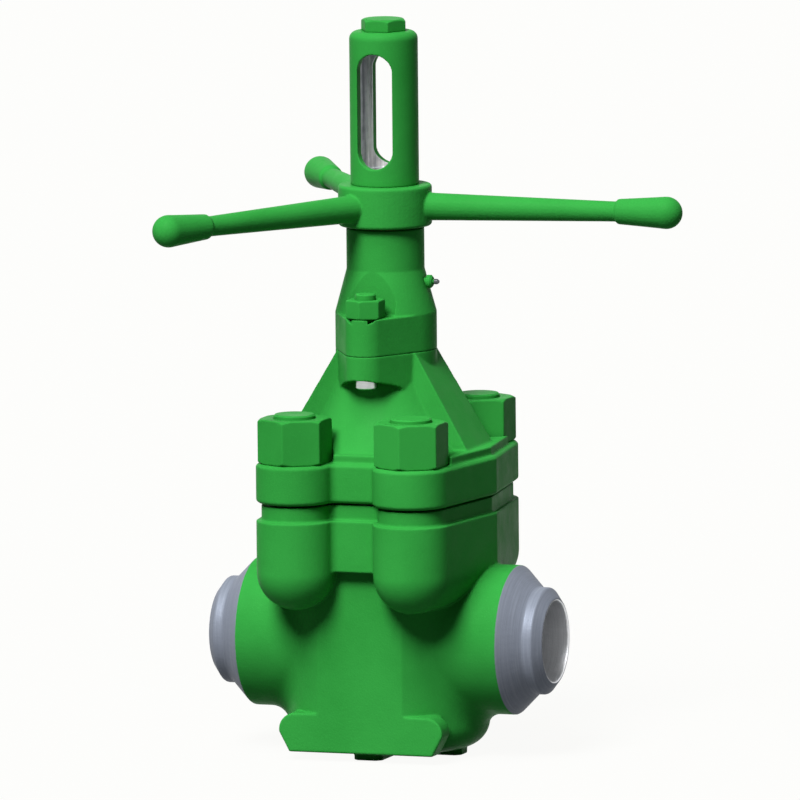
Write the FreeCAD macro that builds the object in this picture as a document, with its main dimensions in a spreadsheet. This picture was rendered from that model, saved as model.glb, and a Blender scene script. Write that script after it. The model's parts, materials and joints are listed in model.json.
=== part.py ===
import FreeCAD, Part
import math
import os
import Sketcher
from types import SimpleNamespace
from FreeCAD import Placement, Rotation, Vector

# A rising-stem mud gate valve with butt-weld ends, in millimetres.
# Z is up the stem, X runs along the flow, and the origin is under the stem on the base pads.

SIZES = {
    # Flow passage and weld ends
    "flow_height": 124.9,
    "bore_radius": 43.65,
    "pipe_radius": 57.15,
    "end_reach": 188.0,
    "weld_land": 1.6,
    "weld_bevel_length": 9.13,
    "hub_radius": 79.7,
    "hub_reach": 146.0,
    # Body chamber
    "chamber_radius": 107.0,
    "chamber_half_width": 96.0,
    "chamber_depth": 118.0,
    "chamber_round": 28.0,
    "hub_fillet": 24.0,
    "well_half_length": 27.3,
    "well_half_width": 62.0,
    # Foot plate and base pads
    "foot_thickness": 26.0,
    "foot_half_length": 92.0,
    "foot_end_slope": 11.5,
    "foot_end_rise": 22.0,
    "foot_clearance": 9.4,
    "foot_height": 41.5,
    "foot_corner_radius": 18.0,
    "pad_half_length": 84.0,
    "pad_length_width": 31.0,
    "pad_half_width": 76.0,
    "pad_cross_width": 32.0,
    "pad_corner": 6.0,
    # Bolting block shared by the body and the bonnet
    "stud_x": 65.4,
    "stud_y": 109.8,
    "lobe_radius": 41.65,
    "corner_reach": 122.8,
    "panel_reach": 111.0,
    "panel_fillet": 8.0,
    "block_bottom_rise": 81.0,
    "block_top_rise": 136.0,
    "land_height": 16.2,
    "land_inset": 5.6,
    "joint_gap": 2.5,
    # Bonnet
    "flange_thickness": 42.0,
    "rim_chamfer": 2.8,
    "platform_inset": 6.0,
    "platform_height": 9.5,
    "spot_face_margin": 1.0,
    "flare_radius": 98.0,
    "flare_arc": 165.0,
    "neck_radius": 54.0,
    "neck_rise": 283.0,
    "collar_rise": 308.6,
    "collar_lobe_y": 65.5,
    "collar_lobe_radius": 22.0,
    "arch_radius": 58.0,
    "collar_skirt_rise": 10.0,
    "rib_foot_reach": 110.0,
    "rib_top_reach": 44.0,
    "rib_foot_half_width": 41.5,
    "rib_top_half_width": 34.0,
    "bonnet_cavity_height": 20.0,
    "bonnet_cavity_half_length": 17.0,
    # Ring gasket
    "gasket_radius": 76.0,
    "gasket_width": 10.0,
    "gasket_height": 14.0,
    "gasket_clearance": 0.1,
    # Bonnet studs and nuts
    "stud_radius": 22.22,
    "stud_clearance": 1.3,
    "thread_clearance": 0.05,
    "stud_depth": 74.0,
    "stud_bottom_gap": 2.0,
    "stud_tip": 4.3,
    "stud_chamfer": 1.6,
    "nut_across_flats": 70.0,
    "nut_height": 48.0,
    "nut_chamfer": 3.0,
    # Seats and gate
    "seat_thickness": 14.0,
    "seat_ring_radius": 52.0,
    "seat_clearance": 0.3,
    "gate_radius": 57.0,
    "gate_top_rise": 60.0,
    "gate_half_thickness": 12.7,
    "gate_clearance": 0.3,
    "tee_slot_depth": 24.0,
    "tee_neck_height": 10.0,
    "tee_head_width": 44.0,
    "tee_neck_width": 29.0,
    "tee_clearance": 0.3,
    "gate_travel": 106.0,
    # Stem, packing and gland
    "stem_radius": 14.0,
    "stem_top_rise": 500.0,
    "stem_chamfer": 2.0,
    "running_clearance": 0.05,
    "packing_radius": 23.0,
    "packing_ring_height": 12.0,
    "packing_bottom_rise": 226.0,
    "gland_collar_radius": 30.0,
    "gland_collar_height": 8.0,
    "gland_bore_clearance": 0.4,
    # Operator housing
    "housing_flange_height": 39.4,
    "housing_radius": 41.5,
    "housing_cone_height": 46.0,
    "housing_barrel_height": 44.0,
    "housing_edge": 1.0,
    "bearing_bore_radius": 34.0,
    "bearing_roof": 36.0,
    "pocket_half_width": 26.0,
    "housing_stud_radius": 11.0,
    "housing_stud_overhang": 10.5,
    "housing_nut_across_flats": 37.0,
    "housing_nut_height": 20.0,
    "housing_stud_tip": 6.0,
    "housing_stud_chamfer": 1.2,
    "grease_drop": 13.0,
    "grease_thread_radius": 4.0,
    "grease_base": 14.0,
    "grease_base_length": 6.0,
    "grease_base_edge": 2.0,
    "grease_nipple_radius": 2.9,
    "grease_nipple_length": 7.0,
    "grease_neck_radius": 2.4,
    "grease_seat_gap": 0.2,
    # Lift nut and thrust bearings
    "bearing_washer_thickness": 4.0,
    "roller_cage_height": 6.0,
    "bearing_inner_gap": 1.0,
    "nut_collar_radius": 33.2,
    "nut_collar_height": 30.0,
    "nut_body_radius": 25.0,
    "nut_neck_radius": 21.5,
    "nut_thread_radius": 20.0,
    "nut_bottom_length": 20.0,
    "retainer_height": 12.0,
    "seal_width": 4.0,
    "seal_height": 6.0,
    # Handwheel
    "wheel_gap": 2.0,
    "wheel_hub_radius": 50.0,
    "wheel_hub_height": 44.0,
    "wheel_hub_round": 2.0,
    "arm_angle": 2.25,
    "arm_drop": 1.0,
    "arm_root_depth": 8.0,
    "arm_root_radius": 15.0,
    "arm_end_radius": 10.75,
    "knob_start": 257.0,
    "knob_start_radius": 13.5,
    "knob_bevel": 2.0,
    "knob_radius": 17.3,
    "knob_centre": 311.7,
    "key_width": 8.0,
    "key_height": 7.0,
    "key_length": 34.0,
    # Stem protector and cap
    "tube_radius": 36.5,
    "tube_bore_radius": 27.0,
    "tube_height": 164.0,
    "tube_round": 8.5,
    "tube_thread_height": 14.0,
    "tube_roof": 14.0,
    "slot_width": 38.8,
    "slot_bottom": 18.5,
    "slot_height": 123.1,
    "cap_thread_radius": 16.0,
    "cap_thread_length": 18.0,
    "cap_across_flats": 43.5,
    "cap_height": 13.0,
}

ARM_COUNT = 3
# How far each skirt runs past the block's corner, as a share of its length
SKIRT_OVERRUN = 0.04
ALONG_X = Rotation(Vector(1, 0, 1), 180)
AGAINST_X = Rotation(Vector(1, 0, -1), 180)
ALONG_Y = Rotation(Vector(1, 0, 0), -90)
UPRIGHT = Rotation(Vector(1, 0, 0), 90)

doc = FreeCAD.newDocument("MudGateValve")
sheet = doc.addObject("Spreadsheet::Sheet", "Sizes")


class Measure:
    """A length that carries both its number and the sheet formula that makes it."""

    def __init__(self, number, formula):
        self.number = float(number)
        self.formula = formula

    def __float__(self):
        return self.number

    def __add__(self, other):
        return Measure(self.number + float(other), f"({self.formula} + {spell(other)})")

    def __radd__(self, other):
        return Measure(float(other) + self.number, f"({spell(other)} + {self.formula})")

    def __sub__(self, other):
        return Measure(self.number - float(other), f"({self.formula} - {spell(other)})")

    def __rsub__(self, other):
        return Measure(float(other) - self.number, f"({spell(other)} - {self.formula})")

    def __mul__(self, other):
        return Measure(self.number * float(other), f"({self.formula} * {spell(other)})")

    __rmul__ = __mul__

    def __truediv__(self, other):
        return Measure(self.number / float(other), f"({self.formula} / {spell(other)})")

    def __neg__(self):
        return Measure(-self.number, f"(0 - {self.formula})")


def spell(value):
    """The text of a measure or of a plain number in a sheet formula."""
    return value.formula if isinstance(value, Measure) else repr(float(value))


def square_root(measure):
    return Measure(math.sqrt(float(measure)), f"sqrt({measure.formula})")


def fill_sheet():
    for row, (name, number) in enumerate(SIZES.items(), start=1):
        sheet.set(f"A{row}", name)
        sheet.set(f"B{row}", str(number))
        sheet.setAlias(f"B{row}", name)
    doc.recompute()
    return SimpleNamespace(**{name: Measure(number, f"Sizes.{name}") for name, number in SIZES.items()})


size = fill_sheet()

# Heights above the base pads
flow = size.flow_height
block_bottom = flow + size.block_bottom_rise
block_top = flow + size.block_top_rise
land_top = block_top + size.land_height
bonnet_face = land_top + size.joint_gap
flange_top = bonnet_face + size.flange_thickness
platform_top = flange_top + size.platform_height
neck_top = flow + size.neck_rise
collar_top = flow + size.collar_rise
housing_flange_top = collar_top + size.housing_flange_height
cone_top = housing_flange_top + size.housing_cone_height
grease_axis = cone_top - size.grease_drop
housing_top = cone_top + size.housing_barrel_height
wheel_bottom = housing_top + size.wheel_gap
wheel_top = wheel_bottom + size.wheel_hub_height
tube_top = wheel_top + size.tube_height
stem_top = flow + size.stem_top_rise
gate_top = flow + size.gate_top_rise
shoulder = housing_top - size.bearing_roof
upper_washer_bottom = shoulder - size.bearing_washer_thickness
collar_high = upper_washer_bottom - size.roller_cage_height
collar_low = collar_high - size.nut_collar_height
lower_washer_top = collar_low - size.roller_cage_height
retainer_top = lower_washer_top - size.bearing_washer_thickness


# Document helpers

def bind(thing, path, value):
    """Tie a property to the sheet, or set it where it is a plain number."""
    thing.setExpression(path, spell(value))


def place(thing, at, turn=None):
    thing.Placement = Placement(Vector(*[float(value) for value in at]), turn or Rotation())
    for axis, value in zip("xyz", at):
        if isinstance(value, Measure):
            bind(thing, f"Placement.Base.{axis}", value)


def primitive(kind, name, at=(0, 0, 0), turn=None, **properties):
    thing = doc.addObject(f"Part::{kind}", name)
    for key, value in properties.items():
        bind(thing, key, value)
    place(thing, at, turn)
    return thing


def cylinder(name, radius, bottom, top, x=0, y=0):
    return primitive("Cylinder", name, (x, y, bottom), Radius=radius, Height=top - bottom)


def box(name, half_x, half_y, bottom, top, x=0, y=0):
    corner = (x - half_x, y - half_y, bottom)
    return primitive("Box", name, corner, Length=2 * half_x, Width=2 * half_y, Height=top - bottom)


def join(name, parts):
    fused = doc.addObject("Part::MultiFuse", name)
    fused.Shapes = parts
    fused.Refine = True
    return fused


def cut(name, base, tools):
    result = doc.addObject("Part::Cut", name)
    result.Base = base
    result.Tool = tools[0] if len(tools) == 1 else join(f"{name}_tools", tools)
    result.Refine = True
    return result


def overlap(name, base, tool):
    result = doc.addObject("Part::Common", name)
    result.Base = base
    result.Tool = tool
    return result


def round_edges(name, base, radius, wanted):
    """Fillet the edges of a solid that pass the test."""
    return soften("Part::Fillet", name, base, radius, wanted)


def chamfer_edges(name, base, width, wanted):
    return soften("Part::Chamfer", name, base, width, wanted)


def soften(kind, name, base, width, wanted):
    doc.recompute()
    picked = [number for number, edge in enumerate(base.Shape.Edges, start=1) if wanted(edge)]
    feature = doc.addObject(kind, name)
    feature.Base = base
    feature.Edges = [(number, float(width), float(width)) for number in picked]
    return feature


def tie_value(sketch, constraint, value):
    """Add a constraint whose value follows the sheet."""
    number = sketch.addConstraint(constraint)
    if isinstance(value, Measure):
        sketch.setExpression(f"Constraints[{number}]", value.formula)


def tie_point(sketch, line, across, up):
    """Hold a line's first end at its distances from the sketch's origin."""
    for kind, value, axis in (("DistanceX", across, -2), ("DistanceY", up, -1)):
        if float(value) == 0:
            sketch.addConstraint(Sketcher.Constraint("PointOnObject", line, 1, axis))
            continue
        tie_value(sketch, Sketcher.Constraint(kind, -1, 1, line, 1, float(value)), value)


def draw_polygon(sketch, corners):
    """Close straight lines through the corners and tie each corner to its sizes."""
    count = len(corners)
    points = [Vector(float(across), float(up), 0) for across, up in corners]
    for first in range(count):
        sketch.addGeometry(Part.LineSegment(points[first], points[(first + 1) % count]), False)
    for first in range(count):
        sketch.addConstraint(Sketcher.Constraint("Coincident", first, 2, (first + 1) % count, 1))
    for line, (across, up) in enumerate(corners):
        tie_point(sketch, line, across, up)


def free_sketch(name, corners, at=(0, 0, 0), turn=None):
    sketch = doc.addObject("Sketcher::SketchObject", name)
    draw_polygon(sketch, corners)
    place(sketch, at, turn)
    return sketch


def prism(name, corners, bottom, top):
    """Extrude a polygon in plan from one height to another."""
    result = doc.addObject("Part::Extrusion", name)
    result.Base = free_sketch(f"{name}_outline", corners, (0, 0, bottom))
    result.DirMode = "Custom"
    result.Dir = Vector(0, 0, 1)
    result.Solid = True
    bind(result, "LengthFwd", top - bottom)
    return result


def spin(name, sketch, axis, base):
    """Turn a sketch about an axis into a solid, each given as measures."""
    result = doc.addObject("Part::Revolution", name)
    result.Source = sketch
    result.Axis = Vector(*[float(value) for value in axis])
    result.Base = Vector(*[float(value) for value in base])
    for prefix, values in (("Axis", axis), ("Base", base)):
        for letter, value in zip("xyz", values):
            if isinstance(value, Measure):
                bind(result, f"{prefix}.{letter}", value)
    result.Angle = 360
    result.Solid = True
    return result


def turned(name, corners):
    """Turn a profile of radius and height corners about the stem axis."""
    return spin(name, free_sketch(f"{name}_profile", corners, turn=UPRIGHT), (0, 0, 1), (0, 0, 0))


def new_body(label):
    body = doc.addObject("PartDesign::Body", label)
    body.Label = label
    return body


def body_sketch(body, role, name):
    sketch = body.newObject("Sketcher::SketchObject", name)
    plane = next(feature for feature in body.Origin.OriginFeatures if feature.Role == role)
    sketch.AttachmentSupport = (plane, [""])
    sketch.MapMode = "FlatFace"
    return sketch


def turned_body(label, corners):
    """A body turned about its own Z axis from a profile of radius and height corners."""
    body = new_body(label)
    sketch = body_sketch(body, "XZ_Plane", f"{label}_profile")
    draw_polygon(sketch, corners)
    turn = body.newObject("PartDesign::Revolution", f"{label}_turn")
    turn.Profile = sketch
    turn.ReferenceAxis = (sketch, ["V_Axis"])
    turn.Angle = 360
    return body


def sleeve_corners(inner, outer, bottom, top):
    return [(inner, bottom), (outer, bottom), (outer, top), (inner, top)]


def pin_corners(radius, bottom, top, chamfer):
    """A round bar with both ends chamfered."""
    return [
        (0, bottom),
        (radius - chamfer, bottom),
        (radius, bottom + chamfer),
        (radius, top - chamfer),
        (radius - chamfer, top),
        (0, top),
    ]


def hexagon(sketch, across_flats, flats_face_x):
    """Draw a hexagon whose flats face X, or face Y."""
    half = across_flats / 2
    corner = across_flats / math.sqrt(3)
    if flats_face_x:
        corners = [(0, corner), (-half, corner / 2), (-half, -corner / 2)]
    else:
        corners = [(corner, 0), (corner / 2, half), (-corner / 2, half)]
    opposite = [(-across, -up) for across, up in corners]
    draw_polygon(sketch, corners + opposite)


def hex_body(label, across_flats, bottom, top, hole, chamfer, at, flats_face_x=True):
    """A hexagon nut or plug head with its corners turned off, and a hole where one is given."""
    body = new_body(label)
    sketch = body_sketch(body, "XY_Plane", f"{label}_hexagon")
    hexagon(sketch, across_flats, flats_face_x)
    pad = body.newObject("PartDesign::Pad", f"{label}_pad")
    pad.Profile = sketch
    bind(pad, "Length", top - bottom)
    trim = body_sketch(body, "XZ_Plane", f"{label}_trim")
    corner = across_flats / math.sqrt(3)
    inner = corner - chamfer * 1.5
    height = top - bottom
    draw_polygon(trim, [(inner, height + 1), (inner, height),
                        (corner + 1, height - chamfer), (corner + 1, height + 1)])
    ends = [trim]
    if hole is not None:
        low = body_sketch(body, "XZ_Plane", f"{label}_low_trim")
        draw_polygon(low, [(inner, -1), (corner + 1, -1), (corner + 1, chamfer), (inner, 0)])
        ends.append(low)
    for sketch in ends:
        groove = body.newObject("PartDesign::Groove", f"{sketch.Name}_groove")
        groove.Profile = sketch
        groove.ReferenceAxis = (sketch, ["V_Axis"])
        groove.Angle = 360
    if hole is not None:
        bore = body_sketch(body, "XZ_Plane", f"{label}_bore")
        draw_polygon(bore, [(0, -1), (hole, -1), (hole, height + 1), (0, height + 1)])
        groove = body.newObject("PartDesign::Groove", f"{label}_bore_groove")
        groove.Profile = bore
        groove.ReferenceAxis = (bore, ["V_Axis"])
        groove.Angle = 360
    place(body, (at[0], at[1], bottom))
    return body


# Bolting outline

QUADRANTS = [(1, 1), (-1, 1), (-1, -1), (1, -1)]


def signed(value, sign):
    return value if sign > 0 else -value


def lobe_tangent(radius, corner):
    """Where the side line from the block's corner touches a lobe, in the first quadrant."""
    across = corner - size.stud_x
    distance_square = across * across + size.stud_y * size.stud_y
    along = radius * radius / distance_square
    aside = radius * square_root(distance_square - radius * radius) / distance_square
    x = size.stud_x + across * along + size.stud_y * aside
    y = size.stud_y - size.stud_y * along + across * aside
    return x, y


def block_prism(name, bottom, top, inset):
    """The four-lobed bolting outline between two heights, drawn in by an inset."""
    radius = size.lobe_radius - inset
    corner = size.corner_reach - inset
    panel = size.panel_reach - inset
    touch_x, touch_y = lobe_tangent(radius, corner)
    outline = [
        (corner, 0), (touch_x, touch_y), (size.stud_x, panel),
        (-size.stud_x, panel), (-touch_x, touch_y),
        (-corner, 0), (-touch_x, -touch_y), (-size.stud_x, -panel),
        (size.stud_x, -panel), (touch_x, -touch_y),
    ]
    parts = [prism(f"{name}_core", outline, bottom, top)]
    for number, (side, face) in enumerate(QUADRANTS, start=1):
        at_x, at_y = signed(size.stud_x, side), signed(size.stud_y, face)
        parts.append(cylinder(f"{name}_lobe_{number}", radius, bottom, top, at_x, at_y))
    block = join(f"{name}_block", parts)

    def panel_corner(edge):
        middle = edge.CenterOfMass
        upright = edge.Vertexes[0].Point.sub(edge.Vertexes[-1].Point)
        inside = abs(middle.x) < float(size.stud_x) - 1 and abs(abs(middle.y) - float(panel)) < 0.5
        return inside and abs(upright.z) > 1 and abs(upright.x) + abs(upright.y) < 0.01

    return round_edges(f"{name}_fillets", block, size.panel_fillet, panel_corner)


def at_height(height):
    """A test for edges that lie flat at one height."""
    level = float(height)

    def flat(edge):
        box_limits = edge.BoundBox
        return abs(box_limits.ZMin - level) < 0.01 and abs(box_limits.ZMax - level) < 0.01

    return flat


# Body

def valve_body():
    flat_drum = overlap(
        "chamber_drum",
        cylinder("chamber_round", size.chamber_radius, flow - size.chamber_depth, block_bottom),
        box("chamber_flats", size.chamber_radius + 1, size.chamber_half_width,
            flow - size.chamber_depth, block_bottom),
    )
    chamber = round_edges("chamber", flat_drum, size.chamber_round, at_height(flow - size.chamber_depth))
    hub = primitive("Cylinder", "flow_hub", (size.hub_reach, 0, flow), AGAINST_X,
                    Radius=size.hub_radius, Height=2 * size.hub_reach)
    crossed = join("chamber_and_hub", [chamber, hub])

    def junction(edge):
        limits = edge.BoundBox
        return limits.ZLength > float(size.hub_radius) and 5 < limits.XLength < float(size.hub_radius)

    tank = round_edges("tank", crossed, size.hub_fillet, junction)
    parts = [tank, *weld_ends(), block_prism("body", block_bottom, block_top, 0)]
    parts.append(block_prism("body_land", block_top, land_top, size.land_inset))
    parts += lobe_ends()
    parts += base_parts()
    casting = join("body_casting", parts)
    tools = [
        primitive("Cylinder", "flow_bore", (-size.end_reach - 1, 0, flow), ALONG_X,
                  Radius=size.bore_radius, Height=2 * size.end_reach + 2),
        primitive("Cylinder", "well_bottom", (-size.well_half_length, 0, flow), ALONG_X,
                  Radius=size.well_half_width, Height=2 * size.well_half_length),
        box("well", size.well_half_length, size.well_half_width, flow, land_top + 1),
        gasket_groove("body_ring_groove", land_top),
    ]
    for number, (side, face) in enumerate(QUADRANTS, start=1):
        tools.append(cylinder(f"tapped_hole_{number}", size.stud_radius + size.thread_clearance,
                              land_top - size.stud_depth, land_top + 1,
                              signed(size.stud_x, side), signed(size.stud_y, face)))
    body = cut("valve_body", casting, tools)
    body.Label = "valve_body"
    return body


def weld_ends():
    """The bare ends past each hub: a cone, the pipe neck and the weld bevel."""
    cone_end = size.hub_reach + (size.hub_radius - size.pipe_radius)
    bevel_start = size.end_reach - size.weld_bevel_length
    corners = [
        (size.bore_radius - 1, size.hub_reach), (size.hub_radius, size.hub_reach),
        (size.pipe_radius, cone_end), (size.pipe_radius, bevel_start),
        (size.bore_radius + size.weld_land, size.end_reach), (size.bore_radius - 1, size.end_reach),
    ]
    ends = []
    for name, turn in (("right", ALONG_X), ("left", AGAINST_X)):
        end = turned(f"{name}_weld_end", corners)
        place(end, (0, 0, flow), turn)
        ends.append(end)
    return ends


def lobe_ends():
    """Rounded undersides of the stud lobes, each carried on as a skirt to the block's corner."""
    parts = []
    touch_x, touch_y = lobe_tangent(size.lobe_radius, size.corner_reach)
    end_x = size.corner_reach + (size.corner_reach - touch_x) * SKIRT_OVERRUN
    end_y = -(touch_y * SKIRT_OVERRUN)
    for number, (side, face) in enumerate(QUADRANTS, start=1):
        lobe = (signed(size.stud_x, side), signed(size.stud_y, face))
        touch = (signed(touch_x, side), signed(touch_y, face))
        corner = (signed(end_x, side), signed(end_y, face))
        inner = (corner[0] - touch[0] + lobe[0], corner[1] - touch[1] + lobe[1])
        sketch = doc.addObject("Sketcher::SketchObject", f"skirt_{number}_section")
        draw_skirt(sketch, lobe, touch, corner, inner, side * face)
        place(sketch, (0, 0, block_bottom))
        turn = side * face
        axis = (signed(touch[0] - corner[0], turn), signed(touch[1] - corner[1], turn), 0)
        skirt = spin(f"skirt_{number}", sketch, axis, (lobe[0], lobe[1], block_bottom))
        skirt.Angle = 180
        parts.append(skirt)
    return parts


def draw_skirt(sketch, lobe, touch, corner, inner, turn):
    """Half of a round-ended bar in plan: its axis runs through the lobe, its side along the block."""
    centre = Vector(float(lobe[0]), float(lobe[1]), 0)
    points = [Vector(float(across), float(up), 0) for across, up in (touch, corner, inner)]
    reach = points[0] - centre
    pole = centre + Vector(-reach.y, reach.x, 0) * turn
    points.append(pole)
    for first, second in zip(points, points[1:]):
        sketch.addGeometry(Part.LineSegment(first, second), False)
    circle = Part.Circle(centre, Vector(0, 0, 1), reach.Length)
    ends = (points[0], pole) if turn > 0 else (pole, points[0])
    sketch.addGeometry(Part.ArcOfCircle(circle, angle_to(centre, ends[0]), angle_to(centre, ends[1])), False)
    touch_end, pole_end = (1, 2) if turn > 0 else (2, 1)
    for line in (0, 1):
        sketch.addConstraint(Sketcher.Constraint("Coincident", line, 2, line + 1, 1))
    sketch.addConstraint(Sketcher.Constraint("Coincident", 3, touch_end, 0, 1))
    sketch.addConstraint(Sketcher.Constraint("Coincident", 3, pole_end, 2, 2))
    for line, (across, up) in enumerate((touch, corner, inner)):
        tie_point(sketch, line, across, up)
    for kind, value in (("DistanceX", lobe[0]), ("DistanceY", lobe[1])):
        tie_value(sketch, Sketcher.Constraint(kind, -1, 1, 3, 3, float(value)), value)
    sketch.addConstraint(Sketcher.Constraint("PointOnObject", 3, 3, 2))


def base_parts():
    """The front foot plate, and the crossed pads that the valve stands on."""
    parts = []
    low = size.foot_clearance
    high = low + size.foot_height
    corners = [
        (size.foot_half_length - size.foot_end_slope, low),
        (size.foot_half_length, low + size.foot_end_rise),
        (size.foot_half_length, high),
        (-size.foot_half_length, high),
        (-size.foot_half_length, low + size.foot_end_rise),
        (size.foot_end_slope - size.foot_half_length, low),
    ]

    def top_corner(edge):
        middle = edge.CenterOfMass
        across = edge.BoundBox.YLength > 1 and edge.BoundBox.XLength < 0.01
        return across and abs(middle.z - float(high)) < 0.01

    plate = doc.addObject("Part::Extrusion", "foot_plate")
    plate.Base = free_sketch("foot_outline", corners, (0, -size.chamber_half_width, 0), UPRIGHT)
    plate.DirMode = "Custom"
    plate.Dir = Vector(0, 1, 0)
    plate.Solid = True
    bind(plate, "LengthFwd", size.foot_thickness)
    parts.append(round_edges("foot", plate, size.foot_corner_radius, top_corner))
    pad_top = flow - size.hub_radius
    long_pad = box("long_pad", size.pad_half_length, size.pad_length_width / 2, 0, pad_top)
    cross_pad = box("cross_pad", size.pad_cross_width / 2, size.pad_half_width, 0, pad_top)
    for name, pad in (("long_pad_corners", long_pad), ("cross_pad_corners", cross_pad)):
        parts.append(chamfer_edges(name, pad, size.pad_corner, upright_edge))
    return parts


def upright_edge(edge):
    limits = edge.BoundBox
    return limits.XLength < 0.01 and limits.YLength < 0.01 and limits.ZLength > 1


def gasket_groove(name, face):
    """A ring groove that takes the gasket above and below a face."""
    reach = (size.gasket_height - size.joint_gap) / 2 + size.gasket_clearance
    inner = size.gasket_radius - size.gasket_width / 2 - size.gasket_clearance
    outer = size.gasket_radius + size.gasket_width / 2 + size.gasket_clearance
    return turned(name, sleeve_corners(inner, outer, face - reach, face + reach))


# Bonnet

def bonnet():
    flange = block_prism("bonnet_flange", bonnet_face, flange_top, 0)

    def rim(edge):
        return at_height(flange_top)(edge) or at_height(bonnet_face)(edge)

    flange = chamfer_edges("bonnet_flange_rim", flange, size.rim_chamfer, rim)
    platform = block_prism("platform", flange_top, platform_top, size.platform_inset)
    parts = [flange, platform, bonnet_neck(), collar_block(), bonnet_ribs()]
    casting = join("bonnet_casting", parts)
    spot_radius = size.nut_across_flats / math.sqrt(3) + size.spot_face_margin
    tools = [
        box("gate_pocket", size.bonnet_cavity_half_length, size.well_half_width,
            bonnet_face - 1, bonnet_face + size.bonnet_cavity_height),
        cylinder("stem_bore", size.stem_radius + size.running_clearance, bonnet_face, collar_top + 1),
        cylinder("packing_box", size.packing_radius + size.running_clearance,
                 flow + size.packing_bottom_rise, collar_top + 1),
        gasket_groove("bonnet_ring_groove", bonnet_face),
    ]
    for number, (side, face) in enumerate(QUADRANTS, start=1):
        at_x, at_y = signed(size.stud_x, side), signed(size.stud_y, face)
        tools.append(cylinder(f"bonnet_hole_{number}", size.stud_radius + size.stud_clearance,
                              bonnet_face - 1, flange_top + 1, at_x, at_y))
        tools.append(cylinder(f"spot_face_{number}", spot_radius, flange_top,
                              flange_top + size.nut_height * 1.5, at_x, at_y))
    for name, face in (("front", -1), ("back", 1)):
        tools.append(cylinder(f"{name}_collar_hole", size.housing_stud_radius + size.thread_clearance,
                              neck_top - size.housing_stud_overhang, collar_top + 1,
                              0, signed(size.collar_lobe_y, face)))
    body = cut("bonnet", casting, tools)
    body.Label = "bonnet"
    return body


def bonnet_neck():
    """The round neck, flared in a hollow arc down to the platform."""
    sketch = doc.addObject("Sketcher::SketchObject", "neck_profile")
    corners = [(size.neck_radius, neck_top), (size.neck_radius, collar_top), (0, collar_top),
               (0, flange_top), (size.flare_radius, flange_top), (size.flare_radius, platform_top)]
    points = [Vector(float(across), float(up), 0) for across, up in corners]
    for first, second in zip(points, points[1:]):
        sketch.addGeometry(Part.LineSegment(first, second), False)
    arc = len(points) - 1
    chord = points[0] - points[-1]
    outward = Vector(chord.y, -chord.x, 0).normalize()
    rise = math.sqrt(float(size.flare_arc) ** 2 - chord.Length ** 2 / 4)
    centre = (points[0] + points[-1]) / 2 + outward * rise
    circle = Part.Circle(centre, Vector(0, 0, 1), float(size.flare_arc))
    sketch.addGeometry(Part.ArcOfCircle(circle, angle_to(centre, points[0]), angle_to(centre, points[-1])), False)
    for line in range(arc - 1):
        sketch.addConstraint(Sketcher.Constraint("Coincident", line, 2, line + 1, 1))
    sketch.addConstraint(Sketcher.Constraint("Coincident", arc - 1, 2, arc, 2))
    sketch.addConstraint(Sketcher.Constraint("Coincident", arc, 1, 0, 1))
    for line, (across, up) in enumerate(corners[:-1]):
        tie_point(sketch, line, across, up)
    tie_value(sketch, Sketcher.Constraint("DistanceY", -1, 1, arc - 1, 2, float(platform_top)), platform_top)
    tie_value(sketch, Sketcher.Constraint("Radius", arc, float(size.flare_arc)), size.flare_arc)
    sketch.addConstraint(Sketcher.Constraint("Vertical", arc - 1))
    place(sketch, (0, 0, 0), UPRIGHT)
    return spin("bonnet_neck", sketch, (0, 0, 1), (0, 0, 0))


def angle_to(centre, point):
    return math.atan2(point.y - centre.y, point.x - centre.x)


def two_lobe_prism(name, bottom, top):
    """The two-bolt outline of the yoke joint: a disc drawn out to a lobe front and back."""
    offset = size.collar_lobe_y
    fall = (size.neck_radius - size.collar_lobe_radius) / offset
    across = square_root(Measure(1, "1") - fall * fall)
    wide_x, wide_y = size.neck_radius * across, size.neck_radius * fall
    lobe_x, lobe_y = size.collar_lobe_radius * across, offset + size.collar_lobe_radius * fall
    outline = [(wide_x, wide_y), (lobe_x, lobe_y), (-lobe_x, lobe_y), (-wide_x, wide_y),
               (-wide_x, -wide_y), (-lobe_x, -lobe_y), (lobe_x, -lobe_y), (wide_x, -wide_y)]
    parts = [
        prism(f"{name}_core", outline, bottom, top),
        cylinder(f"{name}_disc", size.neck_radius, bottom, top),
        cylinder(f"{name}_front_lobe", size.collar_lobe_radius, bottom, top, 0, -offset),
        cylinder(f"{name}_back_lobe", size.collar_lobe_radius, bottom, top, 0, offset),
    ]
    return join(f"{name}_plate", parts)


def collar_block():
    """The yoke joint's lower half, arched underneath to clear the stud ends."""
    arch_axis = neck_top - size.arch_radius
    reach = size.collar_lobe_y + size.collar_lobe_radius + 1
    plate = two_lobe_prism("collar", arch_axis + size.collar_skirt_rise, collar_top)
    arch = primitive("Cylinder", "collar_arch", (0, -reach, arch_axis), ALONG_Y,
                     Radius=size.arch_radius, Height=2 * reach)
    return cut("collar_block", plate, [arch])


def bonnet_ribs():
    """One solid wedge that makes the broad rib on each side of the neck."""
    ribs = primitive("Wedge", "bonnet_ribs", (0, 0, 0), UPRIGHT,
                     Xmin=-size.rib_foot_reach, Xmax=size.rib_foot_reach,
                     X2min=-size.rib_top_reach, X2max=size.rib_top_reach,
                     Zmin=-size.rib_foot_half_width, Zmax=size.rib_foot_half_width,
                     Z2min=-size.rib_top_half_width, Z2max=size.rib_top_half_width,
                     Ymin=flange_top, Ymax=collar_top)
    return ribs


# Fasteners

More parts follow.
